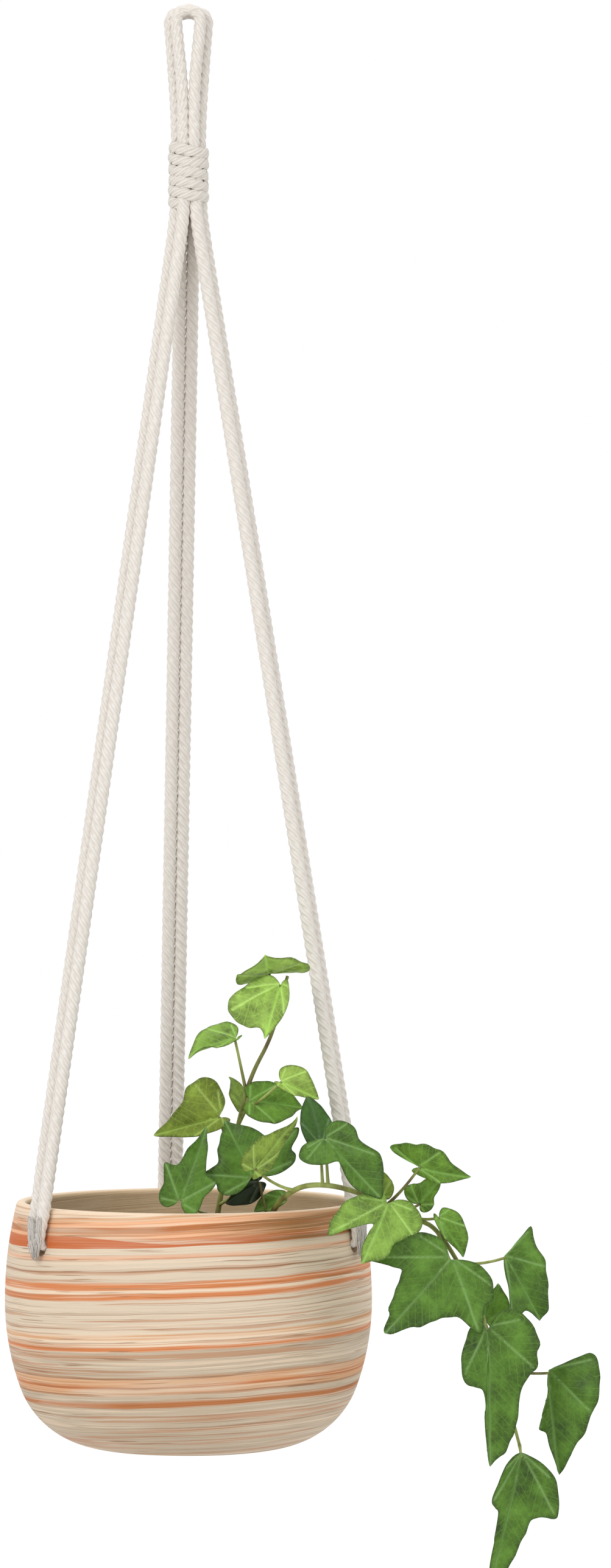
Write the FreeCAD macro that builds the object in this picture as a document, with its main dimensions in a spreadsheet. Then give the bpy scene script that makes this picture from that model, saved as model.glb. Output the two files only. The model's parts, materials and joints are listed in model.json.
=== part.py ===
import FreeCAD, Part
import math
import os

# Hanging planter, modelled hung up: millimetres, +Z up, the hook touches the inside of the rope loop
# at the origin, and the pot's axis is the Z axis.
V = FreeCAD.Vector
doc = FreeCAD.newDocument("hanging_planter")

# ---- driving dimensions ------------------------------------------------------------------------
DIMENSIONS = {
    "rope_diameter": 6.6,
    "bundle_radius": 6.65,          # six tails lie in a ring, touching their neighbours
    "front_loop_width": 11.8,       # across the rope's centreline at the top of the loop
    "outer_loop_width": 18.4,
    "front_loop_close_z": -33.0,
    "loop_end_z": -50.0,
    "loop_row_spread": 1.6,         # the three loops stand this much further apart at the hook
    "turn_gap": 1.0,
    "wrap_top_z": -69.3,
    "wrap_turns": 6,
    "wrap_pitch": 6.0,
    "wrap_cord_thickness": 1.7,
    "swing_z": -106.6,
    "swing_gap": 2.6,
    "leg_azimuth": 7.3,             # the legs' pattern is turned this far about the pot's axis
    "leg_rim_gap": 0.4,
    "leg_bend_radius": 4.0,
    "rim_z": -654.5,
    "rim_radius": 94.6,
    "pot_height": 134.8,
    "belly_radius": 101.5,
    "belly_height": 80.0,
    "shoulder_curve": 225.0,
    "belly_curve": 140.0,
    "belly_sweep": 20.0,
    "foot_curve": 50.0,
    "wall_thickness": 5.5,
    "floor_thickness": 7.0,
    "rim_fillet": 2.2,
    "hole_diameter": 10.4,
    "hole_depth_below_rim": 20.5,
    "drain_diameter": 12.0,
    "knot_radius": 6.6,
    "neck_diameter": 9.4,
    "liner_top_radius": 73.0,
    "liner_bottom_radius": 56.0,
    "liner_height": 86.0,
    "liner_wall": 1.2,
    "soil_drop": 5.0,               # soil surface below the liner's rim
    "stem_diameter": 3.0,
    "petiole_diameter": 1.4,
    "leaf_thickness": 0.8,
    "lift_height": 100.0,
}
sheet = doc.addObject("Spreadsheet::Sheet", "Sheet")
for row, (alias, value) in enumerate(DIMENSIONS.items(), start=1):
    sheet.set("A%d" % row, alias)
    sheet.set("B%d" % row, str(value))
    sheet.setAlias("B%d" % row, alias)
doc.recompute()


def size(alias):
    """A driving dimension as the sheet holds it."""
    return float(sheet.get(alias))


ROPE = size("rope_diameter")
RIM_Z = size("rim_z")
BASE_Z = RIM_Z - size("pot_height")
HOLE_Z = RIM_Z - size("hole_depth_below_rim")
LEG_ANGLES = {name: angle + size("leg_azimuth")
              for name, angle in (("left", -150.0), ("right", -30.0), ("back", 90.0))}
parts = []


def keep(feature, label):
    """Mark a finished sub-part, which is written to a file of its own."""
    feature.Label = label
    parts.append(feature)
    return feature


# ---- shared construction -----------------------------------------------------------------------
def origin_plane(body, role):
    return next(f for f in body.Origin.OriginFeatures if f.Role == role)


def new_sketch(body, role, name):
    sketch = body.newObject("Sketcher::SketchObject", name)
    sketch.AttachmentSupport = [(origin_plane(body, role), "")]
    sketch.MapMode = "FlatFace"
    return sketch


def route_wire(points, radii):
    """Straight runs through the points, each corner rounded by a tangent arc of its own radius."""
    edges, start = [], points[0]
    for here, before, after, radius in zip(points[1:-1], points[:-2], points[2:], radii):
        back, ahead = (before - here).normalize(), (after - here).normalize()
        half_turn = (math.pi - back.getAngle(ahead)) / 2
        reach = radius * math.tan(half_turn)
        enter, leave = here + back * reach, here + ahead * reach
        middle = here + (back + ahead).normalize() * (radius / math.cos(half_turn) - radius)
        if (enter - start).Length > 1e-6:
            edges.append(Part.LineSegment(start, enter).toShape())
        edges.append(Part.Arc(enter, middle, leave).toShape())
        start = leave
    if (points[-1] - start).Length > 1e-6:
        edges.append(Part.LineSegment(start, points[-1]).toShape())
    return Part.Wire(edges)


def natural_radii(points, share=0.45):
    """The largest arcs that a route's runs leave room for."""
    radii = []
    for here, before, after in zip(points[1:-1], points[:-2], points[2:]):
        turn = math.pi - (before - here).getAngle(after - here)
        run = min((before - here).Length, (after - here).Length)
        radii.append(share * run / math.tan(turn / 2))
    return radii


def tube(name, points, diameter_alias, radii=None):
    """A cord: its circle swept along the route, with the volume compared to section times length."""
    radii = radii or natural_radii(points)
    wire = route_wire(points, radii)
    spine = doc.addObject("Part::Feature", name + "_route")
    spine.Shape = wire
    circle = doc.addObject("Part::Circle", name + "_section")
    circle.setExpression("Radius", "Sheet.%s / 2" % diameter_alias)
    circle.Placement = FreeCAD.Placement(points[0], FreeCAD.Rotation(V(0, 0, 1), points[1] - points[0]))
    sweep = doc.addObject("Part::Sweep", name)
    sweep.Sections = [circle]
    sweep.Spine = (spine, ["Edge%d" % (i + 1) for i in range(len(wire.Edges))])
    sweep.Solid = True
    sweep.Transition = "Right corner"
    doc.recompute()
    section = math.pi * (size(diameter_alias) / 2) ** 2
    ratio = sweep.Shape.Volume / (section * wire.Length)
    assert 0.99 < ratio < 1.01, (name, ratio)
    print("%-22s length %7.1f  radii %s" % (name, wire.Length, " ".join("%.1f" % r for r in radii)))
    return sweep


def straight_rod(name, start, end, diameter_alias):
    rod = doc.addObject("Part::Cylinder", name)
    rod.setExpression("Radius", "Sheet.%s / 2" % diameter_alias)
    rod.Height = (end - start).Length
    rod.Placement = FreeCAD.Placement(start, FreeCAD.Rotation(V(0, 0, 1), end - start))
    return rod


def gather(kind, label, members):
    group = doc.addObject(kind, label)
    if kind == "Part::Compound":
        group.Links = members
    else:
        group.Shapes = members
    return keep(group, label)


# ---- the loop that hangs on the hook -----------------------------------------------------------
def loop_rope(label, width_alias, row, foot_x, close_z):
    """One rope folded over the hook, its two tails running down side by side in their own row."""
    radius = size(width_alias) / 2
    top_z, end_z = ROPE / 2, size("loop_end_z")
    corner_x = radius * 1.08
    lean = math.atan2(corner_x - foot_x, top_z - close_z)
    foot_y = row * size("bundle_radius") * math.sin(math.radians(60))
    top_y = foot_y + row * size("loop_row_spread")
    close_y = foot_y + (top_y - foot_y) * (close_z - end_z) / (top_z - end_z)
    side = [V(-foot_x, foot_y, end_z), V(-corner_x, top_y, top_z)]
    radii = [0.99 * corner_x / math.tan((math.pi / 2 + lean) / 2)]
    if close_z > end_z:
        side.insert(1, V(-foot_x, close_y, close_z))
        radii.insert(0, 3 * ROPE)
    points = side + [V(-p.x, p.y, p.z) for p in reversed(side)]
    keep(tube(label, points, "rope_diameter", radii + radii[::-1]), label)


ring = size("bundle_radius")
loop_rope("front_loop_rope", "front_loop_width", -1, ring / 2, size("front_loop_close_z"))
loop_rope("middle_loop_rope", "outer_loop_width", 0, ring, size("loop_end_z"))
loop_rope("rear_loop_rope", "outer_loop_width", 1, ring / 2, size("loop_end_z"))


# ---- the bound bundle and the cord wrapped round it --------------------------------------------
bundle_top = size("loop_end_z") - size("turn_gap")
bundle_end = size("swing_z") + size("swing_gap") / 2
for leg, angle in LEG_ANGLES.items():
    rods = []
    for number, offset in enumerate((-30, 30), start=1):
        a = math.radians(angle + offset)
        foot = V(ring * math.cos(a), ring * math.sin(a), bundle_end)
        rods.append(straight_rod("%s_bundle_rod_%d" % (leg, number), foot,
                                 V(foot.x, foot.y, bundle_top), "rope_diameter"))
    gather("Part::Compound", "%s_bundle_tails" % leg, rods)

wrap = doc.addObject("PartDesign::Body", "wrap_cord")
outline = new_sketch(wrap, "XZ_Plane", "wrap_turns_profile")
inner, outer = ring + ROPE / 2 + 0.05, ring + ROPE / 2 + size("wrap_cord_thickness")
pitch, turns, top = size("wrap_pitch"), int(size("wrap_turns")), size("wrap_top_z")
waist = outer - 0.5
for turn in range(turns):
    high = top - pitch * turn
    outline.addGeometry(Part.Arc(V(waist, high, 0), V(outer, high - pitch / 2, 0),
                                 V(waist, high - pitch, 0)), False)
bottom = top - pitch * turns
for start, end in (((waist, top), (inner, top)), ((inner, top), (inner, bottom)),
                   ((inner, bottom), (waist, bottom))):
    outline.addGeometry(Part.LineSegment(V(*start, 0), V(*end, 0)), False)
rings = wrap.newObject("PartDesign::Revolution", "wrap_rings")
rings.Profile = outline
rings.ReferenceAxis = (outline, ["V_Axis"])
rings.Angle = 360
keep(wrap, "wrap_cord")


# ---- pot ---------------------------------------------------------------------------------------
def pot_profile(inset, floor):
    """Wall curve from the rim down to the floor as (start, middle, end) arcs, inset from the outside."""
    belly_r, belly_z = size("belly_radius"), size("belly_height")
    shoulder, belly, foot = (size(n) - inset for n in ("shoulder_curve", "belly_curve", "foot_curve"))
    sweep = math.radians(size("belly_sweep"))

    def on_arc(centre, radius, angle):
        return V(centre[0] + radius * math.cos(angle), centre[1] + radius * math.sin(angle), 0)
    shoulder_c = (belly_r - inset - shoulder, belly_z)
    belly_c = (belly_r - inset - belly, belly_z)
    joint = on_arc(belly_c, belly, -sweep)
    foot_c = (joint.x - foot * math.cos(sweep), joint.y + foot * math.sin(sweep))
    rim_a = math.asin((size("pot_height") - belly_z) / shoulder)
    end_a = -math.asin((foot_c[1] - floor) / foot)
    return [[on_arc(c, r, a + (b - a) * share) for share in (0, 0.5, 1)]
            for c, r, a, b in ((shoulder_c, shoulder, rim_a, 0), (belly_c, belly, 0, -sweep),
                               (foot_c, foot, -sweep, end_a))]


pot = doc.addObject("PartDesign::Body", "pot")
profile = new_sketch(pot, "XZ_Plane", "pot_profile")
outside, inside = pot_profile(0, 0), pot_profile(size("wall_thickness"), size("floor_thickness"))
for arc in outside + inside:
    profile.addGeometry(Part.Arc(*arc), False)
corners = [(outside[0][0], inside[0][0]),
           (outside[2][2], V(0, 0, 0)), (V(0, 0, 0), V(0, size("floor_thickness"), 0)),
           (V(0, size("floor_thickness"), 0), inside[2][2])]
for start, end in corners:
    profile.addGeometry(Part.LineSegment(start, end), False)
shell = pot.newObject("PartDesign::Revolution", "pot_shell")
shell.Profile = profile
shell.ReferenceAxis = (profile, ["V_Axis"])
shell.Angle = 360
doc.recompute()

rim_edges = ["Edge%d" % (i + 1) for i, edge in enumerate(shell.Shape.Edges)
             if edge.BoundBox.ZMin > size("pot_height") - 0.01 and edge.Closed]
rim_round = pot.newObject("PartDesign::Fillet", "rim_round")
rim_round.Base = (shell, rim_edges)
rim_round.setExpression("Radius", "Sheet.rim_fillet")
doc.recompute()


def round_pocket(role, name, centre, diameter_alias, length):
    sketch = new_sketch(pot, role, name + "_circle")
    sketch.addGeometry(Part.Circle(V(*centre, 0), V(0, 0, 1), size(diameter_alias) / 2), False)
    pocket = pot.newObject("PartDesign::Pocket", name)
    pocket.Profile = sketch
    pocket.Length = length
    doc.recompute()
    return pocket


before = pot.Shape.Volume
rope_hole = round_pocket("XZ_Plane", "rope_hole", (0, HOLE_Z - BASE_Z), "hole_diameter", 150.0)
rope_holes = pot.newObject("PartDesign::PolarPattern", "rope_holes")
rope_holes.Originals = [rope_hole]
rope_holes.Axis = (rope_hole.Profile[0], ["V_Axis"])
rope_holes.Angle = 360
rope_holes.Occurrences = 3
pot.Tip = rope_holes
doc.recompute()
drain = round_pocket("XY_Plane", "drain_hole", (0, 0), "drain_diameter", 20.0)
drain.Reversed = True
doc.recompute()
print("volume cut by the four holes", round(before - pot.Shape.Volume, 1))
hole_area = math.pi * size("hole_diameter") ** 2 / 4
drain_cut = math.pi * size("drain_diameter") ** 2 / 4 * size("floor_thickness")
assert before - pot.Shape.Volume > 3 * hole_area * size("wall_thickness") * 0.95 + drain_cut * 0.99
pot.Placement = FreeCAD.Placement(V(0, 0, BASE_Z),
                                  FreeCAD.Rotation(V(0, 0, 1), LEG_ANGLES["back"] - 90))
keep(pot, "pot")


# ---- legs: a pair of tails each, over the rim's outside and into a hole --------------------------
def wall_radius(z):
    """The pot's outer radius at a height above the belly."""
    curve = size("shoulder_curve")
    rise = z - BASE_Z - size("belly_height")
    return size("belly_radius") - curve + math.sqrt(curve ** 2 - rise ** 2)


leg_top = V(ring * math.cos(math.radians(30)), 0, size("swing_z") - size("swing_gap") / 2 - 0.6)
hole_mouth = wall_radius(HOLE_Z) + size("leg_rim_gap")
slope = math.atan2(size("rim_radius") - leg_top.x, leg_top.z - RIM_Z)
corner_reach = size("leg_bend_radius") * math.tan((math.pi / 2 + slope) / 2)
leg_corner = V(hole_mouth + corner_reach + 0.5, 0, HOLE_Z)
for leg, angle in LEG_ANGLES.items():
    turn = FreeCAD.Rotation(V(0, 0, 1), angle)
    for number, side in enumerate((-1, 1), start=1):
        across = V(0, side * ring / 2, 0)
        points = [turn.multVec(p + across) for p in (leg_top, leg_corner, V(hole_mouth, 0, HOLE_Z))]
        name = "%s_leg_rope_%d" % (leg, number)
        keep(tube(name, points, "rope_diameter", [size("leg_bend_radius")]), name)
    inner_wall = wall_radius(HOLE_Z) - size("wall_thickness")
    neck_start = turn.multVec(V(hole_mouth - 0.1, 0, HOLE_Z))
    knot_centre = turn.multVec(V(inner_wall - size("knot_radius") * 0.86, 0, HOLE_Z))
    neck = straight_rod("%s_knot_neck" % leg, knot_centre, neck_start, "neck_diameter")
    ball = doc.addObject("Part::Sphere", "%s_knot_ball" % leg)
    ball.setExpression("Radius", "Sheet.knot_radius")
    ball.Placement = FreeCAD.Placement(knot_centre, turn)
    halfspace = doc.addObject("Part::Box", "%s_knot_room" % leg)
    halfspace.Length, halfspace.Width, halfspace.Height = 40, 40, 40
    corner = turn.multVec(V(inner_wall - 0.6, -20, HOLE_Z - 20))
    halfspace.Placement = FreeCAD.Placement(corner, turn)
    seat = doc.addObject("Part::Cut", "%s_knot_seat" % leg)
    seat.Base, seat.Tool = ball, halfspace
    gather("Part::MultiFuse", "%s_knot" % leg, [seat, neck])


# ---- liner and soil: what the plant stands in ----------------------------------------------------
liner_z = BASE_Z + size("floor_thickness") + 0.3


def turned_cup(label, points):
    """A body turned about Z from an outline of (radius, height) corners above the liner's underside."""
    body = doc.addObject("PartDesign::Body", label)
    sketch = new_sketch(body, "XZ_Plane", label + "_outline")
    for start, end in zip(points, points[1:] + points[:1]):
        sketch.addGeometry(Part.LineSegment(V(*start, 0), V(*end, 0)), False)
    turned = body.newObject("PartDesign::Revolution", label + "_turned")
    turned.Profile = sketch
    turned.ReferenceAxis = (sketch, ["V_Axis"])
    turned.Angle = 360
    body.Placement = FreeCAD.Placement(V(0, 0, liner_z), FreeCAD.Rotation())
    return keep(body, label)


tall, wall = size("liner_height"), size("liner_wall")
low_r, top_r = size("liner_bottom_radius"), size("liner_top_radius")
turned_cup("grow_pot", [(0, 0), (low_r, 0), (top_r, tall), (top_r - wall, tall), (low_r - wall, wall),
                        (0, wall)])
soil_top = tall - size("soil_drop")
soil_r = low_r - wall + (top_r - low_r) * (soil_top - wall) / (tall - wall) - 0.3
turned_cup("soil", [(0, wall + 0.1), (low_r - wall - 0.3, wall + 0.1), (soil_r, soil_top), (0, soil_top)])
SOIL_Z = liner_z + soil_top


# ---- ivy: two stems with their leaf stalks, and the leaves ---------------------------------------
# Places are from the centre of the pot's rim. Each leaf: where its stalk leaves the stem, its base,
# its tip, the way its right half points, and its width.
STEMS = {
    "upright_stem": [(12, -25, -47), (15, -30, -6), (28, -42, 44), (34, -46, 70), (47, -50, 94),
                     (51, -52, 114), (55, -54, 126)],
    "trailing_stem": [(34, -42, -47), (43, -60, -4), (58, -79, 13), (75, -91, 16), (95, -92, 11),
                      (123, -86, -3), (137, -84, -9), (160, -80, -52), (176, -78, -111),
                      (180, -78, -126)],
}
UPRIGHT_LEAVES = [
    ((50, -51, 110), (47, -52, 128), (44, -74, 134), (1, 0.1, 0.15), 38),
    ((50, -51, 108), (46, -59, 123), (41, -76, 96), (1, 0.25, 0.1), 36),
    ((32, -45, 62), (25, -46, 89), (2, -52, 86), (0.1, 0.8, 0.55), 22),
    ((23, -38, 28), (9, -62, 51), (-16, -70, 41), (-0.25, 0.1, 1), 40),
    ((27, -41, 40), (31, -34, 52), (24, -28, 71), (0.6, 0.8, 0.1), 16),
    ((28, -42, 44), (38, -48, 58), (62, -42, 60), (0, 0.45, 0.85), 24),
    ((29, -43, 50), (51, -60, 68), (72, -68, 61), (0.4, 0.2, 0.85), 22),
    ((16, -31, 0), (36, -76, 21), (21, -72, 48), (0.85, 0.1, 0.5), 50),
    ((15, -30, -6), (-2, -88, 6), (12, -84, 45), (0.95, 0.1, -0.3), 30),
]
TRAILING_LEAVES = [
    ((73, -90, 16), (72, -80, 38), (62, -72, 61), (0.9, 0.3, 0.35), 22),
    ((76, -91, 16), (76, -96, 42), (97, -116, 18), (0.75, -0.1, 0.6), 42),
    ((58, -79, 13), (44, -92, 25), (62, -88, 49), (0.5, 0.5, -0.5), 15),
    ((43, -60, -4), (39, -60, 14), (24, -66, 3), (0.4, 0.3, -0.6), 16),
    ((45, -63, -1), (53, -60, 6), (37, -57, -1), (0.2, 0.4, 0.8), 14),
    ((95, -92, 11), (108, -101, 9), (87, -118, -14), (0.75, 0.1, -0.6), 52),
    ((95, -92, 11), (105, -84, 12), (103, -80, 25), (1, 0, 0.1), 12),
    ((108, -90, 5), (126, -93, 26), (151, -104, 21), (0.2, -0.6, 0.7), 30),
    ((115, -88, 1), (127, -82, 5), (135, -84, 20), (0.8, -0.3, -0.3), 20),
    ((123, -86, -3), (139, -88, 0), (153, -90, -22), (0.75, 0.3, 0.4), 18),
    ((137, -84, -9), (142, -97, -22), (110, -110, -59), (0.75, 0, -0.6), 58),
    ((147, -82, -28), (172, -76, -23), (186, -84, -58), (0.8, 0.3, 0.35), 32),
    ((158, -80, -48), (158, -68, -62), (166, -60, -42), (0.85, 0.3, -0.3), 17),
    ((162, -80, -58), (163, -98, -63), (163, -109, -131), (0.95, 0.1, 0), 44),
    ((169, -79, -85), (198, -72, -86), (199, -82, -141), (0.9, -0.2, 0.1), 33),
    ((180, -78, -126), (182, -87, -135), (168, -92, -206), (0.95, 0.1, -0.15), 33),
]
# Half of a five-lobed leaf: shares of its length along the midrib, and of half its width across it.
LEAF_EDGE = [(0.0, 0.0), (-0.1, 0.3), (0.0, 0.72), (0.14, 0.78), (0.34, 1.0), (0.42, 0.56), (0.7, 0.36),
             (1.0, 0.0)]


def from_rim(place):
    return V(place[0], place[1], place[2] + RIM_Z)


def leaf(label, base, tip, right, width):
    """A flat lobed blade, a little clear of its stalk's end."""
    along, across = tip - base, V(*right)
    length = along.Length
    normal = along.cross(across).normalize()
    across = normal.cross(along).normalize()
    body = doc.addObject("PartDesign::Body", label)
    sketch = new_sketch(body, "XY_Plane", label + "_outline")
    half = [V(u * length, w * width / 2, 0) for u, w in LEAF_EDGE]
    around = half + [V(p.x, -p.y, 0) for p in reversed(half[1:-1])]
    for start, end in zip(around, around[1:] + around[:1]):
        sketch.addGeometry(Part.LineSegment(start, end), False)
    blade = body.newObject("PartDesign::Pad", label + "_blade")
    blade.Profile = sketch
    blade.setExpression("Length", "Sheet.leaf_thickness")
    blade.Midplane = True
    along.normalize()
    matrix = FreeCAD.Matrix(along.x, across.x, normal.x, 0, along.y, across.y, normal.y, 0,
                            along.z, across.z, normal.z, 0, 0, 0, 0, 1)
    turned = FreeCAD.Placement(matrix).Rotation
    body.Placement = FreeCAD.Placement(base + along * (0.2 + size("petiole_diameter") / 2), turned)
    keep(body, label)


def plant_shoot(stem_name, leaves, first):
    """A stem fused with its leaf stalks, and its leaves as pieces of their own."""
    stem = tube(stem_name + "_tube", [from_rim(p) for p in STEMS[stem_name]], "stem_diameter")
    stalks = []
    for number, (joint, base, tip, right, width) in enumerate(leaves, start=first):
        joint, base, tip = from_rim(joint), from_rim(base), from_rim(tip)
        stalks.append(straight_rod("%s_stalk_%02d" % (stem_name, number), joint, base,
                                   "petiole_diameter"))
        leaf("ivy_leaf_%02d" % number, base, tip, right, width)
    gather("Part::MultiFuse", stem_name, [stem] + stalks)


plant_shoot("upright_stem", UPRIGHT_LEAVES, 1)
plant_shoot("trailing_stem", TRAILING_LEAVES, len(UPRIGHT_LEAVES) + 1)

# ---- checks and files --------------------------------------------------------------------------
doc.recompute()
for item in doc.Objects:
    assert not {"Invalid", "Error"} & set(item.State), (item.Label, item.State)
os.makedirs("parts", exist_ok=True)
for item in parts:
    shape = item.Shape
    assert not shape.isNull() and shape.isValid() and shape.Solids, item.Label
    shape.exportStep("parts/%s.step" % item.Label)
print(len(parts), "sub-parts")
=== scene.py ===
import bpy, bmesh, json, math, random
from mathutils import Matrix, Vector, noise


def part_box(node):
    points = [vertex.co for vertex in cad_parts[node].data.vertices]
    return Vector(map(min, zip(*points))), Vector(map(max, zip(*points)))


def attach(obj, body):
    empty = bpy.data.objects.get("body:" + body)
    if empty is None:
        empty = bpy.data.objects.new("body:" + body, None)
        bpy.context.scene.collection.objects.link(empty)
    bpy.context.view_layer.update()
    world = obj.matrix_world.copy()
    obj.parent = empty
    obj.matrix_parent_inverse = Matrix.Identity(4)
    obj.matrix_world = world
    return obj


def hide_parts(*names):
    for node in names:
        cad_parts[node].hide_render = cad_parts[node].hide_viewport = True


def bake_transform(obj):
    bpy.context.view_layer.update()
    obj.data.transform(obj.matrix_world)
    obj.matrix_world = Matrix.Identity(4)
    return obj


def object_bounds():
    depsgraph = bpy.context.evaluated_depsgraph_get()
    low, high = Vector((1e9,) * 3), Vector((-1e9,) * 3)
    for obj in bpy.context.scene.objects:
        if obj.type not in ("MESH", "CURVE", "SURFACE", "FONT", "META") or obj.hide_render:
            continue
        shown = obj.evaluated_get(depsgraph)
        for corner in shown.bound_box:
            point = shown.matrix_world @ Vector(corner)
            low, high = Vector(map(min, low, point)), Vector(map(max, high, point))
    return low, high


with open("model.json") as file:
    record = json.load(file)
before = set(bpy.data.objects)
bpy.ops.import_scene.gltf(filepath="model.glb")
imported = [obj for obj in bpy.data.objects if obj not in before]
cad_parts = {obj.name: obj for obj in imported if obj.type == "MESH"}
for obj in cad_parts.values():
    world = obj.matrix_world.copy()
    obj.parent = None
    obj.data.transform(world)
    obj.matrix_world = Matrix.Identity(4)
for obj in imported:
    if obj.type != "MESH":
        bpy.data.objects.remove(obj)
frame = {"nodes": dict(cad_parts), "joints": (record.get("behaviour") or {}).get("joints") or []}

cad_low, cad_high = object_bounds()
V = Vector

# ---- places and sizes taken from the frame -------------------------------------------------------
_, pot_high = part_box("pot")
RIM_Z = pot_high.z
POT_MM = 134.8                  # the pot's height in millimetres
wrap_low, wrap_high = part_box("wrap_cord")
WRAP_TOP, WRAP_BOTTOM = wrap_high.z, wrap_low.z
JOINTS = {joint["name"]: joint for joint in frame["joints"]}
SWING_Z = JOINTS["swing"]["pos_m"][2]
HOLE_Z = RIM_Z - 0.0205         # height of the three rope holes' middles
ROPE = 0.007
LEG_TURN = 7.3                  # degrees that the three legs' pattern is turned
LEG_ANGLES = {"left": -150 + LEG_TURN, "right": -30 + LEG_TURN, "back": 90 + LEG_TURN}


# ---- camera --------------------------------------------------------------------------------------
def add_camera():
    data = bpy.data.cameras.new("camera")
    data.sensor_width = 36
    data.lens = 124.4
    data.clip_end = 20
    camera = bpy.data.objects.new("camera", data)
    camera.location = (0.0647, -3.0, -0.424)
    camera.rotation_euler = (math.pi / 2, 0, 0)
    bpy.context.scene.collection.objects.link(camera)
    bpy.context.scene.camera = camera


add_camera()


# ---- node helpers --------------------------------------------------------------------------------
def link(tree, source, target):
    tree.links.new(source, target)


def node(tree, kind, **settings):
    made = tree.nodes.new(kind)
    for name, value in settings.items():
        if name.startswith("in_"):
            made.inputs[name[3:].replace("_", " ")].default_value = value
        else:
            setattr(made, name, value)
    return made


def maths(tree, operation, a, b=None, c=None, clamp=False):
    made = tree.nodes.new("ShaderNodeMath")
    made.operation, made.use_clamp = operation, clamp
    for socket, value in zip(made.inputs, (a, b, c)):
        if isinstance(value, (int, float)):
            socket.default_value = value
        elif value is not None:
            link(tree, value, socket)
    return made.outputs[0]


def mix_colour(tree, factor, a, b):
    made = node(tree, "ShaderNodeMix", data_type="RGBA")
    for socket, value in ((made.inputs[0], factor), (made.inputs[6], a), (made.inputs[7], b)):
        if isinstance(value, (int, float)):
            socket.default_value = value
        elif isinstance(value, tuple):
            socket.default_value = (*value, 1)
        else:
            link(tree, value, socket)
    return made.outputs[2]


def ramp(tree, factor, stops):
    made = node(tree, "ShaderNodeValToRGB")
    elements = made.color_ramp.elements
    while len(elements) < len(stops):
        elements.new(0.5)
    for element, (place, colour) in zip(elements, stops):
        element.position = place
        element.color = (*colour, 1) if isinstance(colour, tuple) else (colour, colour, colour, 1)
    link(tree, factor, made.inputs[0])
    return made.outputs[0]


def srgb(red, green, blue):
    """A colour as seen on a screen, 0 to 255, as the linear values that shaders take."""
    return tuple(((c / 255 + 0.055) / 1.055) ** 2.4 for c in (red, green, blue))


def new_material(name, roughness, **sockets):
    material = bpy.data.materials.new(name)
    material.use_nodes = True
    shader = material.node_tree.nodes["Principled BSDF"]
    shader.inputs["Roughness"].default_value = roughness
    for key, value in sockets.items():
        shader.inputs[key.replace("_", " ")].default_value = value
    return material, material.node_tree, shader


def new_group(name, inputs, outputs):
    group = bpy.data.node_groups.new(name, "ShaderNodeTree")
    for label, kind, value in inputs:
        socket = group.interface.new_socket(label, in_out="INPUT", socket_type="NodeSocket" + kind)
        if value is not None:
            socket.default_value = value
    for label, kind in outputs:
        group.interface.new_socket(label, in_out="OUTPUT", socket_type="NodeSocket" + kind)
    return group, node(group, "NodeGroupInput").outputs, node(group, "NodeGroupOutput").inputs


def bump(tree, height, shader, strength, distance):
    made = node(tree, "ShaderNodeBump", in_Strength=strength, in_Distance=distance)
    link(tree, height, made.inputs["Height"])
    link(tree, made.outputs[0], shader.inputs["Normal"])


def object_noise(tree, scale, stretch=(1, 1, 1), detail=3.0, roughness=0.55, turn=(0, 0, 0)):
    mapping = node(tree, "ShaderNodeMapping", in_Scale=stretch, in_Rotation=turn)
    link(tree, node(tree, "ShaderNodeTexCoord").outputs["Object"], mapping.inputs["Vector"])
    made = node(tree, "ShaderNodeTexNoise", in_Scale=scale, in_Detail=detail, in_Roughness=roughness)
    link(tree, mapping.outputs[0], made.inputs["Vector"])
    return made.outputs[0]


# ---- cotton: twisted yarns and loose fibres ------------------------------------------------------
def fibre_group():
    """Yarns that run slantwise along a strand's own UV map: u along it in metres, v once round it."""
    group, given, out = new_group("cotton_yarns", [("Yarns", "Float", 7.0), ("Lay", "Float", 90.0)],
                                  [("Yarn", "Float"), ("Fibre", "Float")])
    split = node(group, "ShaderNodeSeparateXYZ")
    link(group, node(group, "ShaderNodeUVMap", uv_map="lay").outputs[0], split.inputs[0])
    around = maths(group, "MULTIPLY", split.outputs[1], given["Yarns"])
    along = maths(group, "MULTIPLY", split.outputs[0], given["Lay"])
    phase = maths(group, "MULTIPLY", maths(group, "ADD", around, along), math.tau)
    wave = maths(group, "MULTIPLY", maths(group, "SINE", phase), 0.5)
    link(group, maths(group, "ADD", wave, 0.5), out["Yarn"])
    fine = node(group, "ShaderNodeTexNoise", in_Scale=1.0, in_Detail=4.0, in_Roughness=0.7)
    spot = node(group, "ShaderNodeCombineXYZ")
    link(group, maths(group, "MULTIPLY", split.outputs[0], 700.0), spot.inputs[0])
    slant = maths(group, "ADD", maths(group, "MULTIPLY", split.outputs[1], 60.0),
                  maths(group, "MULTIPLY", split.outputs[0], 6000.0))
    link(group, slant, spot.inputs[1])
    link(group, spot.outputs[0], fine.inputs["Vector"])
    link(group, fine.outputs[0], out["Fibre"])
    return group


YARNS = fibre_group()


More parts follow.
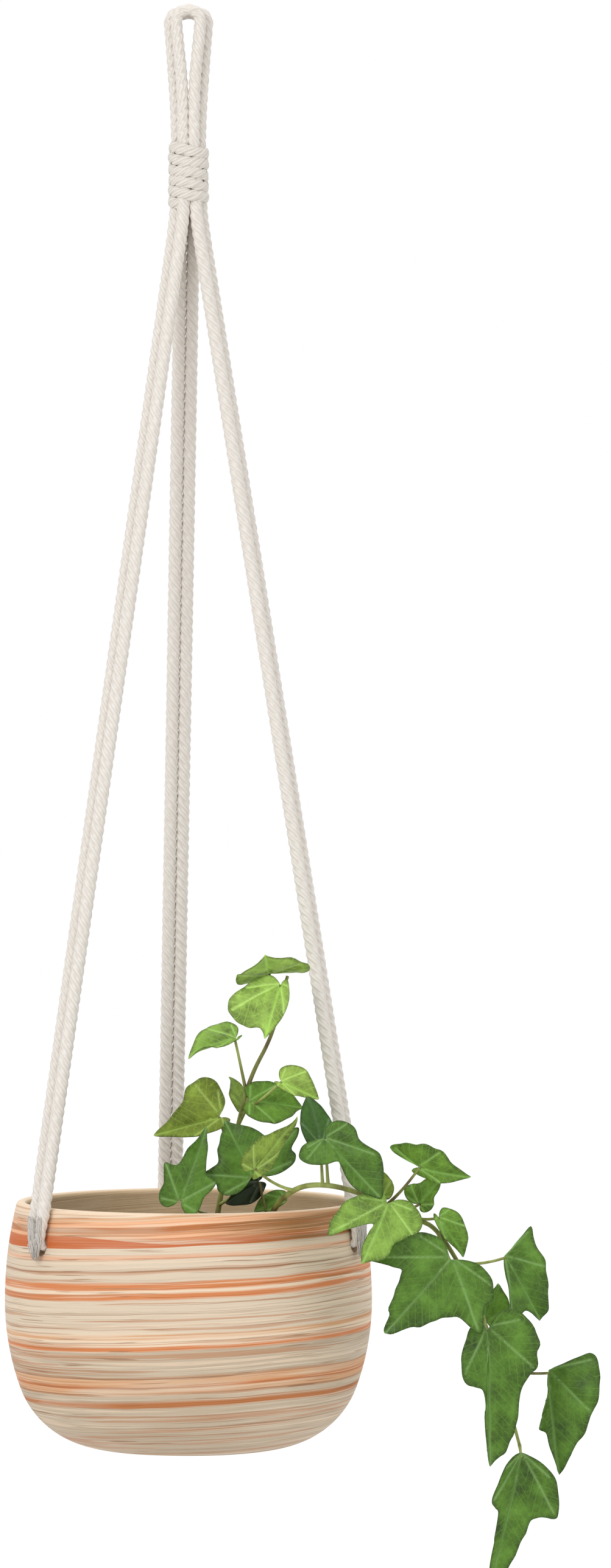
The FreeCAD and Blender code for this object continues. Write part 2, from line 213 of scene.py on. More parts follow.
def cotton_material(name, light, dark, yarns, lay):
    material, tree, shader = new_material(name, 0.92, Sheen_Weight=0.25, Sheen_Roughness=0.6)
    lay_node = node(tree, "ShaderNodeGroup", node_tree=YARNS)
    lay_node.inputs["Yarns"].default_value = yarns
    lay_node.inputs["Lay"].default_value = lay
    yarn, fibre = lay_node.outputs
    cloudy = object_noise(tree, 60.0, detail=2.0)
    # The yarn wave darkens the grooves between yarns and lightens their crests: painted shade and painted
    # light of the twist.
    tone = mix_colour(tree, maths(tree, "POWER", yarn, 0.6), dark, light)
    tone = mix_colour(tree, maths(tree, "MULTIPLY", cloudy, 0.35), tone, srgb(222, 213, 201))
    tone = mix_colour(tree, ramp(tree, fibre, [(0.35, 0.0), (0.75, 0.35)]), tone, srgb(248, 244, 236))
    link(tree, tone, shader.inputs["Base Color"])
    height = maths(tree, "ADD", yarn, maths(tree, "MULTIPLY", fibre, 0.9))
    bump(tree, height, shader, 0.7, 0.0004)
    return material


# Light and dark colours: the lit crests of the yarns, and the painted shade in the grooves between them.
ROPE_COTTON = cotton_material("rope_cotton", srgb(248, 243, 236), srgb(224, 215, 205), 6.0, 110.0)
WRAP_COTTON = cotton_material("wrap_cotton", srgb(245, 240, 232), srgb(214, 204, 192), 6.0, 110.0)


# ---- meshes --------------------------------------------------------------------------------------
def finish_mesh(name, bm, material, smooth=True):
    bmesh.ops.recalc_face_normals(bm, faces=bm.faces)
    for face in bm.faces:
        face.smooth = smooth
    mesh = bpy.data.meshes.new(name)
    bm.to_mesh(mesh)
    bm.free()
    mesh.materials.append(material)
    piece = bpy.data.objects.new(name, mesh)
    bpy.context.scene.collection.objects.link(piece)
    return piece


def nurbs_route(name, points):
    """A cord's line: a NURBS spline of order 3 that ends at its end points."""
    curve = bpy.data.curves.new(name, "CURVE")
    curve.dimensions = "3D"
    curve.resolution_u = 24
    spline = curve.splines.new("NURBS")
    spline.points.add(len(points) - 1)
    for target, point in zip(spline.points, points):
        target.co = (*point, 1)
    spline.order_u = 3
    spline.use_endpoint_u = True
    return bpy.data.objects.new(name, curve)


def route_points(name, points, step):
    """Points an even step apart, read from the route's own NURBS spline."""
    carrier = nurbs_route(name, points)
    bpy.context.scene.collection.objects.link(carrier)
    depsgraph = bpy.context.evaluated_depsgraph_get()
    mesh = bpy.data.meshes.new_from_object(carrier.evaluated_get(depsgraph))
    line = [v.co.copy() for v in mesh.vertices]
    bpy.data.objects.remove(carrier)
    bpy.data.meshes.remove(mesh)
    lengths = [0.0]
    for before, after in zip(line, line[1:]):
        lengths.append(lengths[-1] + (after - before).length)
    count = max(2, round(lengths[-1] / step))
    spaced, index = [], 0
    for number in range(count + 1):
        want = lengths[-1] * number / count
        while index < len(line) - 2 and lengths[index + 1] < want:
            index += 1
        span = max(lengths[index + 1] - lengths[index], 1e-9)
        spaced.append(line[index].lerp(line[index + 1], min(1, (want - lengths[index]) / span)))
    return spaced, lengths[-1]


def frames_along(points):
    """Two directions square to the line at each point, carried along it without twisting."""
    tangents = [(b - a).normalized() for a, b in zip(points, points[1:])]
    tangents = [tangents[0]] + [(a + b).normalized() for a, b in zip(tangents, tangents[1:])] + [tangents[-1]]
    side = tangents[0].orthogonal().normalized()
    frames = []
    for tangent in tangents:
        side = (side - tangent * side.dot(tangent)).normalized()
        frames.append((side, tangent.cross(side)))
    return frames


def add_tube(bm, uv, line, radius_at, sides, v_shift=0.0):
    """A closed-ended tube round a line, from a grid rolled up and sewn along its edge."""
    frames = frames_along(line)
    rings = len(line)
    made = bmesh.ops.create_grid(bm, x_segments=rings - 1, y_segments=sides, size=1.0)["verts"]
    distance = [0.0]
    for before, after in zip(line, line[1:]):
        distance.append(distance[-1] + (after - before).length)
    places = {}
    for vertex in made:
        ring = round((vertex.co.x + 1) / 2 * (rings - 1))
        turn = (vertex.co.y + 1) / 2
        side, up = frames[ring]
        angle = turn * math.tau
        radius = radius_at(ring / (rings - 1))
        vertex.co = line[ring] + (side * math.cos(angle) + up * math.sin(angle)) * radius
        places[vertex] = (distance[ring], turn + v_shift)
    for vertex in made:
        for loop in vertex.link_loops:
            loop[uv].uv = places[vertex]
    bmesh.ops.remove_doubles(bm, verts=made, dist=1e-7)
    rims = {edge for vertex in made if vertex.is_valid for edge in vertex.link_edges if edge.is_boundary}
    bmesh.ops.holes_fill(bm, edges=list(rims), sides=0)


STRAND_SHARE = 0.55      # a strand's diameter as a share of its rope's, pressed into its neighbours
CORE_SHARE = 0.88        # loose fibre fills the rope's grooves out to this share of its diameter
TWIST_PITCH = 0.0155


def strands_of(line, diameter, squeeze=lambda share: 1.0, start_turn=0.0, mirrored=False):
    """Three strands' centre lines laid round the rope's own line; mirrored, its halves twist both ways."""
    frames = frames_along(line)
    reach = diameter * (1 - STRAND_SHARE) / 2
    distances = [0.0]
    for before, after in zip(line, line[1:]):
        distances.append(distances[-1] + (after - before).length)
    lines = [[], [], []]
    for distance, centre, (side, up) in zip(distances, line, frames):
        tight = squeeze(distance / distances[-1])
        laid = abs(distance - distances[-1] / 2) if mirrored else distance
        for number, strand in enumerate(lines):
            angle = start_turn - math.tau * (laid / TWIST_PITCH - number / 3)
            strand.append(centre + (side * math.cos(angle) + up * math.sin(angle)) * reach * tight)
    return lines


def rope(name, route, diameter, material, squeeze=lambda share: 1.0, step=0.00125, start_turn=0.0,
         mirrored=False):
    """A three-strand rope along a NURBS route, with its strands as closed tubes in one mesh."""
    line, length = route_points(name + "_route", route, step)
    bm = bmesh.new()
    uv = bm.loops.layers.uv.new("lay")
    thick = diameter * STRAND_SHARE / 2

    def radius_at(share):
        return thick * squeeze(share)
    for number, strand in enumerate(strands_of(line, diameter, squeeze, start_turn, mirrored)):
        add_tube(bm, uv, strand, radius_at, 12, number / 3)
    add_tube(bm, uv, line, lambda share: diameter * CORE_SHARE / 2 * squeeze(share), 16)
    return finish_mesh(name, bm, material), line, length


def on_leg(leg, radial, across, height):
    """A point given by its distance from the pot's axis towards a leg, and sideways from that leg."""
    angle = math.radians(LEG_ANGLES[leg])
    return V((radial * math.cos(angle) - across * math.sin(angle),
              radial * math.sin(angle) + across * math.cos(angle), height))


# ---- leg ropes -----------------------------------------------------------------------------------
LEG_TOP_RADIUS = 0.00576
LEG_FULLNESS = 1.08     # the outline dips in between strands, so the lay is drawn this much fuller
LEG_CORNER_RADIUS = 0.1030
LEG_SLOPE = (LEG_CORNER_RADIUS - LEG_TOP_RADIUS) / (SWING_Z - 0.002 - HOLE_Z)


def leg_squeeze(share):
    """The rope narrows where it is drawn into the pot's hole."""
    return 1.0 if share < 0.955 else 1.0 - 0.55 * ((share - 0.955) / 0.045) ** 0.9


def add_leg_rope(leg, number, side):
    def taut(height):
        return LEG_TOP_RADIUS + (SWING_Z - 0.002 - height) * LEG_SLOPE
    gap = side * ROPE * 0.5
    heights = (SWING_Z - 0.006, SWING_Z - 0.045, -0.30, -0.50, RIM_Z + 0.042, RIM_Z + 0.004)
    route = [on_leg(leg, LEG_TOP_RADIUS, gap, WRAP_BOTTOM + 0.018),
             on_leg(leg, LEG_TOP_RADIUS, gap, WRAP_BOTTOM + 0.003)]
    route += [on_leg(leg, taut(height), gap, height) for height in heights]
    route += [on_leg(leg, LEG_CORNER_RADIUS - 0.0004, gap * 0.9, HOLE_Z + 0.001),
              on_leg(leg, 0.0975, gap * 0.62, HOLE_Z - 0.0005), on_leg(leg, 0.0905, gap * 0.6, HOLE_Z)]
    name = "%s_leg_rope_%d" % (leg, number)
    piece, line, length = rope(name + "_twisted", route, ROPE * LEG_FULLNESS, ROPE_COTTON, leg_squeeze,
                               start_turn=number * 1.1 + LEG_ANGLES[leg])
    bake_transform(piece)
    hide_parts(name, *(["%s_bundle_tails" % leg] if number == 1 else []))


def add_brushed_end(leg):
    """Loose fibres that close round the two ropes where they are drawn into the pot."""
    bm = bmesh.new()
    uv = bm.loops.layers.uv.new("lay")
    draw = random.Random(leg + "_end")
    for thread in range(150):
        angle = draw.uniform(-math.pi / 2, math.pi / 2)
        start_height = HOLE_Z + draw.uniform(0.001, 0.017)
        start = on_leg(leg, 0.1028 + 0.0024 * math.cos(angle), 0.0060 * math.sin(angle), start_height)
        end_across = 0.0022 * math.sin(angle) + draw.uniform(-0.0006, 0.0006)
        end = on_leg(leg, 0.1022 + 0.0012 * math.cos(angle), end_across,
                     HOLE_Z + draw.uniform(-0.0075, 0.0005))
        middle = start.lerp(end, 0.5) + on_leg(leg, 0.0006, 0.0006 * math.sin(angle), 0)
        route, _ = route_points("thread", [start, middle, end], 0.002)
        add_tube(bm, uv, route, lambda share: 0.00034 * (1 - 0.7 * share), 5)
    piece = finish_mesh(leg + "_brushed_end", bm, ROPE_COTTON)
    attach(piece, "pot")


for leg in LEG_ANGLES:
    for number, side in enumerate((-1, 1), start=1):
        add_leg_rope(leg, number, side)
    add_brushed_end(leg)


# ---- loop ropes ----------------------------------------------------------------------------------
def add_loop_rope(name, row, side_points, start_turn):
    """A rope folded over the hook: half its route as distance across, depth in its row, and height."""
    side = [V((-x, row * y, z)) for x, y, z in side_points]
    route = side + [V((-p.x, p.y, p.z)) for p in reversed(side)]
    piece, line, length = rope(name + "_twisted", route, ROPE, ROPE_COTTON, start_turn=start_turn,
                               mirrored=True)
    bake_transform(piece)
    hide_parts(name)


LOOP_FOOT = WRAP_TOP - 0.02
add_loop_rope("front_loop_rope", -1, [
    (0.0029, 0.0052, LOOP_FOOT), (0.0029, 0.0058, -0.058), (0.0036, 0.0066, -0.034),
    (0.0058, 0.0072, -0.014), (0.0073, 0.0073, 0.0036)], 0.4)
add_loop_rope("middle_loop_rope", 0, [
    (0.0060, 0, LOOP_FOOT), (0.0063, 0, -0.058), (0.0082, 0, -0.030), (0.0097, 0, -0.010),
    (0.0108, 0, 0.0036)], 1.7)
add_loop_rope("rear_loop_rope", 1, [
    (0.0030, 0.0052, LOOP_FOOT), (0.0034, 0.0058, -0.060), (0.0074, 0.0068, -0.028),
    (0.0092, 0.0072, -0.010), (0.0106, 0.0073, 0.0036)], 2.9)


# ---- wrap cord -----------------------------------------------------------------------------------
def add_wrap():
    """The binding cord: a close helix in six rows, pressed flat on the bundle, its ends tucked under."""
    rows, middle_radius, flatness = 6, 0.0098, 0.48
    cord = (WRAP_TOP - WRAP_BOTTOM) / rows
    steps_per_turn = 24
    total = rows * steps_per_turn
    route = []
    for step in range(-3, total - steps_per_turn + 4):
        angle = math.radians(200) + step / steps_per_turn * math.tau
        tuck = max(0, -step, step - (total - steps_per_turn)) * 0.0009
        height = WRAP_TOP - cord * (0.5 + min(max(step, 0), total - steps_per_turn) / steps_per_turn)
        wobble = 0.0003 * math.sin(angle * 2.0 + step * 0.07) + 0.0002 * math.sin(step * 0.61)
        tilt = 0.0009 * math.sin(angle - 0.4)
        reach = middle_radius - tuck + wobble * 0.6
        route.append(V((reach * math.cos(angle), reach * math.sin(angle), height + wobble + tilt)))
    line, _ = route_points("wrap_route", route, 0.0011)
    bm = bmesh.new()
    uv = bm.loops.layers.uv.new("lay")
    loose = cord * 1.16         # the cord before it is pressed against its neighbours
    for number, strand in enumerate(strands_of(line, loose)):
        add_tube(bm, uv, strand, lambda share: loose * 0.53 / 2, 10, number / 3)
    for vertex in bm.verts:
        reach = math.hypot(vertex.co.x, vertex.co.y)
        scale = (middle_radius + (reach - middle_radius) * flatness) / reach
        vertex.co.x *= scale
        vertex.co.y *= scale
    piece = finish_mesh("wrap_cord_turns", bm, WRAP_COTTON)
    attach(piece, "wrap")
    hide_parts("wrap_cord")


add_wrap()


# ---- knots inside the pot ------------------------------------------------------------------------
def add_knot(leg):
    """An overhand knot drawn against the inside of the wall, with two short brushed-out ends."""
    centre = on_leg(leg, 0.0856, 0, HOLE_Z - 0.0005)
    outward = (on_leg(leg, 1, 0, 0)).normalized()
    across, scale, count = outward.cross(V((0, 0, 1))), 0.00155, 26
    path = []
    for step in range(count):
        t = step / (count - 1) * math.tau * 0.96 + 0.2
        x, y, z = math.sin(t) + 2 * math.sin(2 * t), math.cos(t) - 2 * math.cos(2 * t), -math.sin(3 * t)
        path.append(centre + across * x * scale + V((0, 0, 1)) * y * scale + outward * z * scale * 1.2)
    line, _ = route_points(leg + "_knot_route", path, 0.0009)
    bm = bmesh.new()
    uv = bm.loops.layers.uv.new("lay")
    tight = 0.0052              # the rope's diameter where the knot squeezes it
    for number, strand in enumerate(strands_of(line, tight)):
        add_tube(bm, uv, strand, lambda share: tight * STRAND_SHARE / 2, 8, number / 3)
    draw = random.Random(leg)
    for end in range(26):
        lean, spread = (end % 2 - 0.5) * 0.006, 0.0022
        start = centre - outward * 0.002 + across * lean
        tip = start - outward * draw.uniform(0.000, 0.005) - V((0, 0, draw.uniform(0.010, 0.0145)))
        tip += across * draw.uniform(-spread, spread)
        middle = start.lerp(tip, 0.5) - outward * 0.002
        thread, _ = route_points("thread", [start, middle, tip], 0.0012)
        add_tube(bm, uv, thread, lambda share: 0.00055 * (1 - 0.6 * share), 5)
    piece = finish_mesh(leg + "_overhand_knot", bm, ROPE_COTTON)
    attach(piece, "pot")
    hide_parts(leg + "_knot")


for leg in LEG_ANGLES:
    add_knot(leg)


# ---- pot -----------------------------------------------------------------------------------------
CREAM, PALE, TAUPE = srgb(222, 204, 180), srgb(240, 216, 188), srgb(198, 180, 156)
PEACH, TAN, PINK = srgb(242, 184, 142), srgb(218, 168, 126), srgb(228, 182, 150)
ORANGE, RUST, UMBER, BROWN = srgb(216, 134, 82), srgb(200, 104, 52), srgb(188, 118, 68), srgb(140, 92, 52)
OLIVE = srgb(142, 100, 50)
# Glaze bands: millimetres below the rim where each starts and ends, and its colour.
UPPER_BANDS = [(0, 0.6, PALE), (0.8, 3, TAN), (3.2, 5.8, PEACH), (6.2, 9, UMBER), (9.4, 12.2, PEACH),
               (12.6, 14, ORANGE), (14.3, 16.8, RUST), (17.2, 21, CREAM), (21.4, 23.6, PINK),
               (24, 35.6, CREAM), (36, 39.4, ORANGE), (39.8, 41.4, PALE), (41.8, 44.6, ORANGE),
               (45.2, 50, CREAM)]
LOWER_BANDS = [(50, 63.5, CREAM), (64, 66, TAN), (66.5, 70, PALE), (70.5, 72.3, ORANGE), (73, 87, TAUPE),
               (88, 91, TAN), (92, 93, ORANGE), (93.5, 96, TAN), (97, 100.5, TAUPE), (101.5, 103.5, UMBER),
               (104.2, 134, TAUPE)]
# Thin dark lines drawn by the wheel: millimetres below the rim, half thickness, strength.
LINES = [(29.9, 0.6, 0.95), (34, 0.3, 0.5), (52.6, 0.35, 0.6), (59.7, 0.35, 0.7), (68, 0.4, 0.7),
         (87.4, 0.4, 0.8), (92.6, 0.5, 0.6), (96.3, 0.45, 0.8), (109, 0.35, 0.5), (116, 0.4, 0.6)]


def band_stops(bands):
    return [(mm / POT_MM, colour) for start, end, colour in bands for mm in (start, end)]


def pot_material():
    """Cream glaze with thrown orange bands and thin dark lines, which all lean a little across the pot."""
    material, tree, shader = new_material("streaked_glaze", 0.62, Specular_IOR_Level=0.35)
    place = node(tree, "ShaderNodeSeparateXYZ")
    coordinates = node(tree, "ShaderNodeTexCoord")
    link(tree, coordinates.outputs["Object"], place.inputs[0])
    x, y, z = place.outputs
    wave = maths(tree, "SUBTRACT", object_noise(tree, 14.0, (1, 1, 4), 2.0), 0.5)
    wobble = maths(tree, "MULTIPLY", wave, 0.0026)
    lean = maths(tree, "MULTIPLY", x, maths(tree, "SUBTRACT", 0.0445, maths(tree, "MULTIPLY", x, 0.08)))
    depth = maths(tree, "ADD", maths(tree, "SUBTRACT", RIM_Z, z), maths(tree, "ADD", lean, wobble))
    below = maths(tree, "DIVIDE", depth, POT_MM / 1000, clamp=True)

    def streak(around, along, detail=2.0, roughness=0.55):
        spot = node(tree, "ShaderNodeCombineXYZ")
        for socket, value, scale in zip(spot.inputs, (x, y, depth), (around, around, along)):
            link(tree, maths(tree, "MULTIPLY", value, scale), socket)
        made = node(tree, "ShaderNodeTexNoise", in_Scale=1.0, in_Detail=detail, in_Roughness=roughness)
        link(tree, spot.outputs[0], made.inputs["Vector"])
        return made.outputs[0]

    upper, lower = (ramp(tree, below, band_stops(bands)) for bands in (UPPER_BANDS, LOWER_BANDS))
    colour = mix_colour(tree, maths(tree, "GREATER_THAN", below, 50 / POT_MM), upper, lower)
    fade = streak(8, 90)
    colour = mix_colour(tree, ramp(tree, fade, [(0.34, 0.6), (0.46, 0.0)]), colour, CREAM)
    medium = streak(6, 520)
    colour = mix_colour(tree, ramp(tree, medium, [(0.57, 0.0), (0.60, 0.5)]), colour, UMBER)
    colour = mix_colour(tree, ramp(tree, medium, [(0.36, 0.55), (0.42, 0.0)]), colour, PALE)
    fine = streak(9, 1500)
    colour = mix_colour(tree, ramp(tree, fine, [(0.60, 0.0), (0.64, 0.4)]), colour, BROWN)
    hair = streak(20, 950, 1.0)
    colour = mix_colour(tree, ramp(tree, hair, [(0.68, 0.0), (0.71, 0.6)]), colour, BROWN)
    colour = mix_colour(tree, ramp(tree, fine, [(0.34, 0.4), (0.41, 0.0)]), colour, srgb(244, 228, 204))
    stops = [(0.0, 0.0)]
    for mm, half, strength in LINES:
        stops += [((mm - half) / POT_MM, 0.0), (mm / POT_MM, strength), ((mm + half) / POT_MM, 0.0)]
    broken = ramp(tree, streak(14, 120), [(0.38, 0.25), (0.5, 1.0)])
    lines = maths(tree, "MULTIPLY", ramp(tree, below, stops), broken)
    colour = mix_colour(tree, lines, colour, BROWN)
    # A rust brush at the left tapers to a line; olive at the top right is glaze streak and painted leaf
    # shadow.
    taper = maths(tree, "MULTIPLY", x, -1 / 0.06, clamp=True)
    edge = maths(tree, "SUBTRACT", 16.4 / POT_MM, maths(tree, "MULTIPLY", taper, 5.6 / POT_MM))
    brush = maths(tree, "MULTIPLY", maths(tree, "GREATER_THAN", below, edge),
                  maths(tree, "LESS_THAN", below, 17.3 / POT_MM))
    brush = maths(tree, "MULTIPLY", brush, maths(tree, "LESS_THAN", y, 0.0))
    colour = mix_colour(tree, maths(tree, "MULTIPLY", brush, ramp(tree, fine, [(0.35, 0.55), (0.6, 0.95)])),
                        colour, RUST)
    # Olive that grows towards the right near the top: partly brown glaze streaks, partly painted shadow of
    # the leaves.
    leaf_shadow_and_streak = maths(tree, "MULTIPLY", maths(tree, "SUBTRACT", x, 0.005), 1 / 0.055, clamp=True)
    leaf_shadow_and_streak = maths(tree, "MULTIPLY", leaf_shadow_and_streak,
                  ramp(tree, below, [(0.02, 0.0), (0.05, 0.9), (0.12, 0.9), (0.15, 0.0)]))
    leaf_shadow_and_streak = maths(tree, "MULTIPLY", leaf_shadow_and_streak, ramp(tree, medium, [(0.38, 0.25), (0.58, 1.0)]))
    colour = mix_colour(tree, leaf_shadow_and_streak, colour, OLIVE)
    normal = node(tree, "ShaderNodeSeparateXYZ")
    link(tree, coordinates.outputs["Normal"], normal.inputs[0])
    facing = maths(tree, "ADD", maths(tree, "MULTIPLY", normal.outputs[0], x),
                   maths(tree, "MULTIPLY", normal.outputs[1], y))
    inside = ramp(tree, maths(tree, "MULTIPLY_ADD", facing, 20.0, 0.5), [(0.30, 1.0), (0.70, 0.0)])
    lining = ramp(tree, object_noise(tree, 40.0, (1, 1, 3)),
                  [(0.3, srgb(206, 178, 140)), (0.7, srgb(220, 196, 162))])
    colour = mix_colour(tree, inside, colour, lining)
    lip = ramp(tree, maths(tree, "MULTIPLY", maths(tree, "SUBTRACT", RIM_Z, z), 100.0),
               [(0.04, 0.8), (0.10, 0.0)])
    colour = mix_colour(tree, lip, colour, PALE)
    link(tree, colour, shader.inputs["Base Color"])
    relief = maths(tree, "ADD", medium, maths(tree, "MULTIPLY", fine, 0.8))
    relief = maths(tree, "SUBTRACT", relief, maths(tree, "MULTIPLY", lines, 0.5))
    relief = maths(tree, "ADD", relief, maths(tree, "MULTIPLY", object_noise(tree, 900.0, detail=2.0), 0.12))
    bump(tree, relief, shader, 0.45, 0.0006)
    link(tree, ramp(tree, fade, [(0.3, 0.52), (0.7, 0.72)]), shader.inputs["Roughness"])
    return material


def recolour(node_name, material):
    """A CAD node keeps its shape and gets a better material."""
    for slot in frame["nodes"][node_name].material_slots:
        slot.material = material


recolour("pot", pot_material())


# ---- liner and soil ------------------------------------------------------------------------------
def liner_material():
    material, tree, shader = new_material("liner_plastic", 0.5)
    tone = ramp(tree, object_noise(tree, 220.0), [(0.3, srgb(52, 46, 42)), (0.7, srgb(66, 58, 52))])
    link(tree, tone, shader.inputs["Base Color"])
    bump(tree, object_noise(tree, 500.0), shader, 0.3, 0.0003)
    return material


def soil_material():
    material, tree, shader = new_material("potting_soil", 0.95)
    grains = object_noise(tree, 420.0, detail=5.0, roughness=0.7)
    tone = ramp(tree, grains, [(0.25, srgb(38, 26, 18)), (0.55, srgb(72, 52, 36)), (0.75, srgb(118, 92, 66))])
    link(tree, tone, shader.inputs["Base Color"])
    bump(tree, grains, shader, 0.8, 0.0015)
    return material


def polar_grid(bm, turns, rings, place):
    """A grid rolled round a centre: place(turn, share) gives each point, and doubles are merged."""
    made = bmesh.ops.create_grid(bm, x_segments=turns, y_segments=rings, size=1.0)["verts"]
    for vertex in made:
        vertex.co = place((vertex.co.x + 1) / 2, (vertex.co.y + 1) / 2)
    bmesh.ops.remove_doubles(bm, verts=made, dist=1e-6)


def add_soil():
    _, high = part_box("soil")
    reach = high.x
    bm = bmesh.new()

    def surface(turn, share):
        angle, distance = turn * math.tau, reach * share
        spot = V((distance * math.cos(angle), distance * math.sin(angle), 0))
        lumps = noise.noise(spot * 60) * 0.0022 + noise.noise(spot * 260) * 0.0012
        return spot + V((0, 0, high.z - 0.0012 + lumps * (1 - share ** 8) - 0.004 * share ** 8))
    polar_grid(bm, 120, 46, surface)
    draw = random.Random(4)
    for crumb in range(260):
        angle, distance = draw.uniform(0, math.tau), reach * 0.93 * math.sqrt(draw.random())
        scale = draw.uniform(0.0006, 0.0019)
        place = (distance * math.cos(angle), distance * math.sin(angle), high.z - 0.0004)
        matrix = (Matrix.Translation(place)
                  @ Matrix.Rotation(draw.uniform(0, 6), 4, V((draw.random(), draw.random(), 1)).normalized())
                  @ Matrix.Diagonal((scale, scale * draw.uniform(0.5, 1), scale * 0.6, 1)))
        bmesh.ops.create_icosphere(bm, subdivisions=1, radius=1.0, matrix=matrix)
    piece = finish_mesh("soil_surface", bm, soil_material())
    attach(piece, "plant")
    recolour("soil", piece.data.materials[0])


recolour("grow_pot", liner_material())
add_soil()


# ---- ivy -----------------------------------------------------------------------------------------
# The leaves and stems stand within a few millimetres of the CAD's. All places are in millimetres from
# the centre of the pot's rim.
# Each leaf: where its stalk leaves the stem, its base, its tip, a line across it, then for each half of
# the blade the outline it follows and its width (the half on the left first, with the tip upwards), how
# far the halves fold up and the tip droops, and its age (-1 olive, 0 young, 1 dark).
STEMS = {
    "upright_stem": [(12, -25, -47), (15, -30, -6), (28, -42, 44), (34, -46, 70), (47, -50, 94),
                     (51, -52, 114), (55, -54, 126)],
    "trailing_stem": [(34, -42, -47), (43, -60, -4), (58, -79, 13), (75, -91, 16), (95, -92, 11),
                      (123, -86, -3), (137, -84, -9), (160, -80, -52), (176, -78, -111),
                      (180, -78, -126)],
}
LEAVES = {
    "upright_stem": [
        ((50, -51, 110), (45, -53, 127), (43, -78, 138), (1, 0.1, 0.2), ("round", 19), ("round", 22),
         0.15, 0.0, 0.0),
        ((51, -51, 112), (51, -60, 122), (43, -77, 94), (1, 0.25, 0.1), ("round", 7), ("hood", 24),
         0.10, 0.10, 0.0),
        ((32, -45, 62), (27, -46, 92), (1, -52, 86), (0.1, 0.8, 0.55), ("round", 4), ("round", 14),
         0.30, 0.20, 0.25),
        ((23, -38, 28), (19, -60, 50), (-16, -70, 41), (-0.25, 0.1, 1), ("round", 7), ("knob", 23),
         0.20, 0.10, -0.75),
        ((27, -41, 40), (31, -34, 52), (24, -28, 71), (0.6, 0.8, 0.1), ("round", 8), ("round", 6),
         0.30, 0.10, -0.5),
        ((28, -42, 44), (34, -48, 58), (64, -44, 55), (0, 0.45, 0.85), ("round", 12), ("round", 14),
         0.25, 0.10, 0.60),
        ((29, -43, 50), (51, -60, 69), (71, -68, 61), (0.4, 0.2, 0.85), ("round", 12), ("round", 4),
         0.25, 0.15, -0.25),
        ((16, -31, 0), (36, -77, 18), (21, -72, 49), (0.85, 0.1, 0.5), ("star", 25), ("star", 34),
         0.15, 0.10, 0.75),
        ((15, -30, -6), (-3, -88, 6), (12, -84, 46), (0.95, 0.1, -0.3), ("star", 15), ("star", 15),
         0.20, 0.12, 0.75),
    ],
    "trailing_stem": [
        ((73, -90, 16), (73, -82, 36), (66, -72, 63), (0.9, 0.3, 0.35), ("round", 9), ("round", 9),
         0.25, 0.10, 0.90),
        ((76, -91, 16), (75, -96, 41), (101, -116, 13), (0.75, -0.1, 0.6), ("shoulder", 16), ("notched", 17),
         0.15, 0.20, 0.75),
        ((58, -79, 13), (37, -92, 23), (61, -88, 51), (0.5, 0.5, -0.5), ("knob", 15), ("round", 6),
         0.20, 0.05, -0.5),
        ((43, -60, -4), (40, -60, 15), (22, -66, 3), (0.4, 0.3, -0.6), ("round", 8), ("round", 8),
         0.20, 0.10, 1.25),
        ((45, -63, -1), (53, -60, 6), (36, -57, -1), (0.2, 0.4, 0.8), ("round", 6), ("round", 7),
         0.20, 0.10, 0.60),
        ((95, -92, 11), (109, -101, 7), (96, -118, -24), (0.75, 0.1, -0.6), ("broad", 21), ("swept", 23),
         0.12, 0.12, 0.25),
        ((95, -92, 11), (106, -84, 8), (103, -80, 24), (1, 0, 0.1), ("round", 7), ("round", 7),
         0.20, 0.05, -0.5),
        ((108, -90, 5), (125, -93, 25), (151, -104, 19), (0.2, -0.4, 0.85), ("raked", 15), ("round", 6),
         0.15, 0.15, 0.60),
        ((115, -88, 1), (126, -82, 4), (137, -84, 18), (0.8, -0.3, -0.3), ("broad", 12), ("broad", 7),
         0.15, 0.10, 0.50),
        ((123, -86, -3), (136, -88, -2), (150, -90, -23), (0.75, 0.3, 0.4), ("round", 10), ("round", 4),
         0.35, 0.10, 0.50),
        ((137, -84, -9), (143, -97, -23), (108, -110, -62), (0.75, 0, -0.6), ("star", 38), ("lance", 34),
         0.12, 0.12, 0.85),
        ((147, -82, -28), (172, -76, -24), (192, -84, -57), (0.8, 0.3, 0.35), ("horned", 19), ("drawn", 15),
         0.25, 0.12, 0.85),
        ((158, -80, -48), (162, -70, -60), (170, -62, -40), (0.85, 0.3, -0.3), ("round", 5), ("round", 11),
         0.20, 0.10, 0.50),
        ((162, -80, -58), (162, -98, -60), (164, -109, -134), (0.95, 0.1, 0), ("broad", 27), ("lobed", 15),
         0.18, 0.10, 0.70),
        ((169, -79, -85), (196, -72, -86), (200, -82, -141), (0.9, -0.2, 0.1), ("fan", 28), ("spur", 8),
         0.10, 0.10, 0.65),
        ((180, -78, -126), (181, -87, -129), (163, -92, -206), (0.95, 0.1, -0.15), ("wedge", 26),
         ("wedge", 10), 0.20, 0.08, 0.75),
    ],
}
